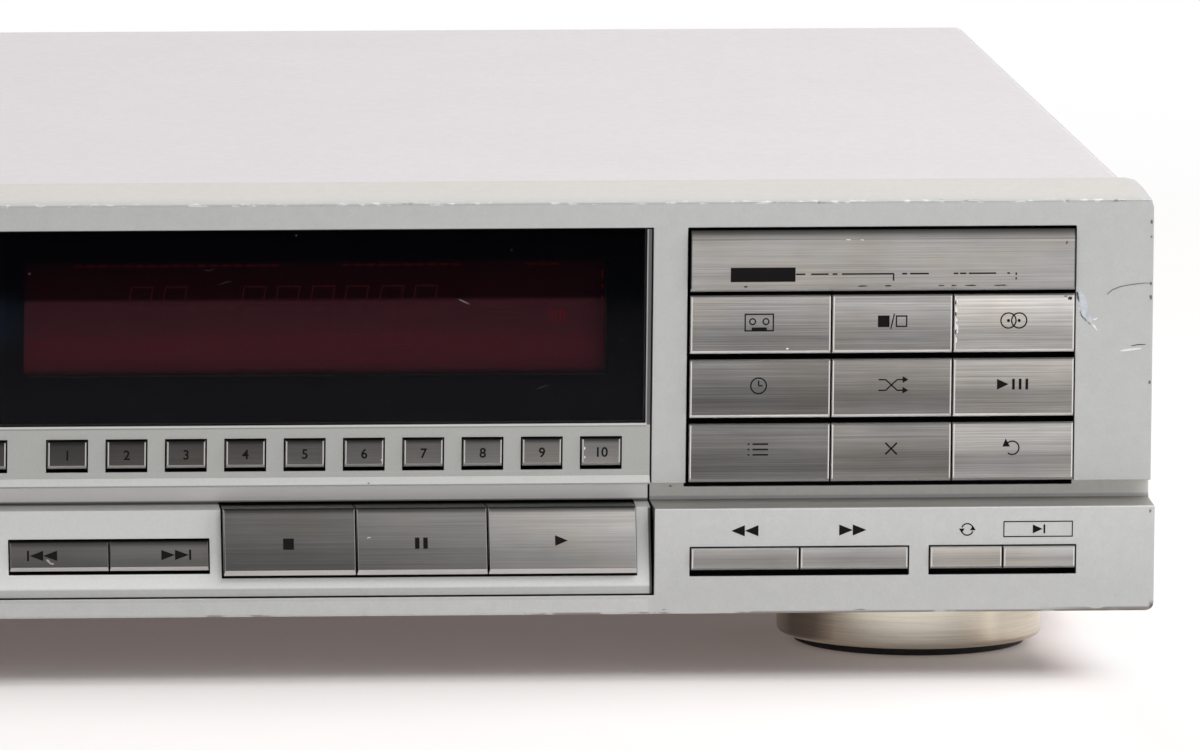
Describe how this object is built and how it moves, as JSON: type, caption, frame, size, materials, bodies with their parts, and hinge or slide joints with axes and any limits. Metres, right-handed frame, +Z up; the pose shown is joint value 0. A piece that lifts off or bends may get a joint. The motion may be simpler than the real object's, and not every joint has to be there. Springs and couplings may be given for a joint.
{
  "type": "cd player",
  "caption": "Low wide disc player with a front tray, smoked display window, brushed push keys and round feet; tray, keys, gears, deck and pickup move.",
  "frame": {"origin": "on the surface the player stands on, under the middle of its bounding box", "axes": "+X to the player's right as seen from the front, +Y from the front to the back, +Z up"},
  "size_m": [0.43, 0.304, 0.1086],
  "materials": {
    "silver_paint": "satin silver paint with fine metallic grain",
    "cover_paint": "satin light grey paint",
    "key_metal": "brushed along its width",
    "dark_key_metal": "dark, brushed along its width",
    "window_plastic": "smoked, glossy, see-through",
    "tube_glass": "dark red display tube, unlit",
    "foot_metal": "champagne, turned grain",
    "steel": "plated sheet",
    "black_plastic": "fine moulded grain",
    "gear_plastic": "natural moulded plastic",
    "board": "lacquered circuit board",
    "core_steel": "varnished laminations"
  },
  "bodies": {
    "chassis": {"fascia": "silver_paint", "centre_panel": "silver_paint", "display_window": "window_plastic", "display_tube": "tube_glass", "keypad_plate": "key_metal", "headphone_jack": "black_plastic", "top_cover": "cover_paint", "chassis_base": "steel", "rear_panel": "steel", "foot_front_left": "foot_metal", "foot_front_right": "foot_metal", "foot_rear_left": "foot_metal", "foot_rear_right": "foot_metal", "loader_frame": "black_plastic", "loading_motor": "steel", "clamp_bridge": "steel", "front_board": "board", "main_board": "board", "power_transformer": "core_steel", "output_sockets": "black_plastic", "mains_inlet": "black_plastic"},
    "tray": {"disc_tray": "black_plastic", "tray_front": "silver_paint"},
    "loading_gear": {"loading_gear": "gear_plastic"},
    "motor_pinion": {"motor_pinion": "gear_plastic"},
    "optical_deck": {"optical_deck": "steel"},
    "turntable": {"turntable": "black_plastic"},
    "pickup_sled": {"pickup_sled": "black_plastic"},
    "disc_clamper": {"disc_clamper": "black_plastic"},
    "number_key_1": {"number_key_1": "dark_key_metal"},
    "number_key_2": {"number_key_2": "dark_key_metal"},
    "number_key_3": {"number_key_3": "dark_key_metal"},
    "number_key_4": {"number_key_4": "dark_key_metal"},
    "number_key_5": {"number_key_5": "dark_key_metal"},
    "number_key_6": {"number_key_6": "dark_key_metal"},
    "number_key_7": {"number_key_7": "dark_key_metal"},
    "number_key_8": {"number_key_8": "dark_key_metal"},
    "number_key_9": {"number_key_9": "dark_key_metal"},
    "number_key_10": {"number_key_10": "dark_key_metal"},
    "number_key_over_10": {"number_key_over_10": "dark_key_metal"},
    "open_close_key": {"open_close_key": "dark_key_metal"},
    "tape_length_key": {"tape_length_key": "key_metal"},
    "tape_side_key": {"tape_side_key": "key_metal"},
    "disc_link_key": {"disc_link_key": "key_metal"},
    "time_mode_key": {"time_mode_key": "key_metal"},
    "random_key": {"random_key": "key_metal"},
    "music_scan_key": {"music_scan_key": "key_metal"},
    "program_key": {"program_key": "key_metal"},
    "clear_key": {"clear_key": "key_metal"},
    "recall_key": {"recall_key": "key_metal"},
    "stop_key": {"stop_key": "key_metal"},
    "pause_key": {"pause_key": "key_metal"},
    "play_key": {"play_key": "key_metal"},
    "skip_back_key": {"skip_back_key": "dark_key_metal"},
    "skip_forward_key": {"skip_forward_key": "dark_key_metal"},
    "search_back_key": {"search_back_key": "key_metal"},
    "search_forward_key": {"search_forward_key": "key_metal"},
    "repeat_key": {"repeat_key": "key_metal"},
    "auto_cue_key": {"auto_cue_key": "key_metal"},
    "power_button": {"power_button": "dark_key_metal"}
  },
  "joints": [
    {"name": "tray_slide", "type": "slide", "parent": "chassis", "child": "tray", "axis": [0, -1, 0], "range_m": [0, 0.145]},
    {"name": "loading_gear_spin", "type": "hinge", "parent": "chassis", "child": "loading_gear", "pos_m": [-0.168, -0.096, 0.0592], "axis": [0, 0, 1], "range_deg": [0, 1040]},
    {"name": "motor_pinion_spin", "type": "hinge", "parent": "chassis", "child": "motor_pinion", "pos_m": [-0.148, -0.096, 0.0592], "axis": [0, 0, 1], "range_deg": [-3117, 0]},
    {"name": "deck_tilt", "type": "hinge", "parent": "chassis", "child": "optical_deck", "pos_m": [-0.124, 0.046, 0.0624], "axis": [1, 0, 0], "range_deg": [0, 5]},
    {"name": "turntable_spin", "type": "hinge", "parent": "optical_deck", "child": "turntable", "pos_m": [-0.124, -0.049, 0.0637], "axis": [0, 0, 1], "continuous": true},
    {"name": "pickup_slide", "type": "slide", "parent": "optical_deck", "child": "pickup_sled", "axis": [0, 1, 0], "range_m": [0, 0.036]},
    {"name": "clamper_spin", "type": "hinge", "parent": "chassis", "child": "disc_clamper", "pos_m": [-0.124, -0.049, 0.0802], "axis": [0, 0, 1], "continuous": true},
    {"name": "number_key_1_press", "type": "slide", "parent": "chassis", "child": "number_key_1", "axis": [0, 1, 0], "range_m": [0, 0.001], "stiffness_N_per_m": 600},
    {"name": "number_key_2_press", "type": "slide", "parent": "chassis", "child": "number_key_2", "axis": [0, 1, 0], "range_m": [0, 0.001], "stiffness_N_per_m": 600},
    {"name": "number_key_3_press", "type": "slide", "parent": "chassis", "child": "number_key_3", "axis": [0, 1, 0], "range_m": [0, 0.001], "stiffness_N_per_m": 600},
    {"name": "number_key_4_press", "type": "slide", "parent": "chassis", "child": "number_key_4", "axis": [0, 1, 0], "range_m": [0, 0.001], "stiffness_N_per_m": 600},
    {"name": "number_key_5_press", "type": "slide", "parent": "chassis", "child": "number_key_5", "axis": [0, 1, 0], "range_m": [0, 0.001], "stiffness_N_per_m": 600},
    {"name": "number_key_6_press", "type": "slide", "parent": "chassis", "child": "number_key_6", "axis": [0, 1, 0], "range_m": [0, 0.001], "stiffness_N_per_m": 600},
    {"name": "number_key_7_press", "type": "slide", "parent": "chassis", "child": "number_key_7", "axis": [0, 1, 0], "range_m": [0, 0.001], "stiffness_N_per_m": 600},
    {"name": "number_key_8_press", "type": "slide", "parent": "chassis", "child": "number_key_8", "axis": [0, 1, 0], "range_m": [0, 0.001], "stiffness_N_per_m": 600},
    {"name": "number_key_9_press", "type": "slide", "parent": "chassis", "child": "number_key_9", "axis": [0, 1, 0], "range_m": [0, 0.001], "stiffness_N_per_m": 600},
    {"name": "number_key_10_press", "type": "slide", "parent": "chassis", "child": "number_key_10", "axis": [0, 1, 0], "range_m": [0, 0.001], "stiffness_N_per_m": 600},
    {"name": "number_key_over_10_press", "type": "slide", "parent": "chassis", "child": "number_key_over_10", "axis": [0, 1, 0], "range_m": [0, 0.001], "stiffness_N_per_m": 600},
    {"name": "open_close_key_press", "type": "slide", "parent": "chassis", "child": "open_close_key", "axis": [0, 1, 0], "range_m": [0, 0.001], "stiffness_N_per_m": 600},
    {"name": "tape_length_key_press", "type": "slide", "parent": "chassis", "child": "tape_length_key", "axis": [0, 1, 0], "range_m": [0, 0.001], "stiffness_N_per_m": 600},
    {"name": "tape_side_key_press", "type": "slide", "parent": "chassis", "child": "tape_side_key", "axis": [0, 1, 0], "range_m": [0, 0.001], "stiffness_N_per_m": 600},
    {"name": "disc_link_key_press", "type": "slide", "parent": "chassis", "child": "disc_link_key", "axis": [0, 1, 0], "range_m": [0, 0.001], "stiffness_N_per_m": 600},
    {"name": "time_mode_key_press", "type": "slide", "parent": "chassis", "child": "time_mode_key", "axis": [0, 1, 0], "range_m": [0, 0.001], "stiffness_N_per_m": 600},
    {"name": "random_key_press", "type": "slide", "parent": "chassis", "child": "random_key", "axis": [0, 1, 0], "range_m": [0, 0.001], "stiffness_N_per_m": 600},
    {"name": "music_scan_key_press", "type": "slide", "parent": "chassis", "child": "music_scan_key", "axis": [0, 1, 0], "range_m": [0, 0.001], "stiffness_N_per_m": 600},
    {"name": "program_key_press", "type": "slide", "parent": "chassis", "child": "program_key", "axis": [0, 1, 0], "range_m": [0, 0.001], "stiffness_N_per_m": 600},
    {"name": "clear_key_press", "type": "slide", "parent": "chassis", "child": "clear_key", "axis": [0, 1, 0], "range_m": [0, 0.001], "stiffness_N_per_m": 600},
    {"name": "recall_key_press", "type": "slide", "parent": "chassis", "child": "recall_key", "axis": [0, 1, 0], "range_m": [0, 0.001], "stiffness_N_per_m": 600},
    {"name": "stop_key_press", "type": "slide", "parent": "chassis", "child": "stop_key", "axis": [0, 1, 0], "range_m": [0, 0.001], "stiffness_N_per_m": 600},
    {"name": "pause_key_press", "type": "slide", "parent": "chassis", "child": "pause_key", "axis": [0, 1, 0], "range_m": [0, 0.001], "stiffness_N_per_m": 600},
    {"name": "play_key_press", "type": "slide", "parent": "chassis", "child": "play_key", "axis": [0, 1, 0], "range_m": [0, 0.001], "stiffness_N_per_m": 600},
    {"name": "skip_back_key_press", "type": "slide", "parent": "chassis", "child": "skip_back_key", "axis": [0, 1, 0], "range_m": [0, 0.001], "stiffness_N_per_m": 600},
    {"name": "skip_forward_key_press", "type": "slide", "parent": "chassis", "child": "skip_forward_key", "axis": [0, 1, 0], "range_m": [0, 0.001], "stiffness_N_per_m": 600},
    {"name": "search_back_key_press", "type": "slide", "parent": "chassis", "child": "search_back_key", "axis": [0, 1, 0], "range_m": [0, 0.001], "stiffness_N_per_m": 600},
    {"name": "search_forward_key_press", "type": "slide", "parent": "chassis", "child": "search_forward_key", "axis": [0, 1, 0], "range_m": [0, 0.001], "stiffness_N_per_m": 600},
    {"name": "repeat_key_press", "type": "slide", "parent": "chassis", "child": "repeat_key", "axis": [0, 1, 0], "range_m": [0, 0.001], "stiffness_N_per_m": 600},
    {"name": "auto_cue_key_press", "type": "slide", "parent": "chassis", "child": "auto_cue_key", "axis": [0, 1, 0], "range_m": [0, 0.001], "stiffness_N_per_m": 600},
    {"name": "power_button_press", "type": "slide", "parent": "chassis", "child": "power_button", "axis": [0, 1, 0], "range_m": [0, 0.0025], "stiffness_N_per_m": 600}
  ],
  "couplings": [
    {"joint": "loading_gear_spin", "follows": "tray_slide", "rad_per_m": 125},
    {"joint": "motor_pinion_spin", "follows": "tray_slide", "rad_per_m": -375}
  ]
}
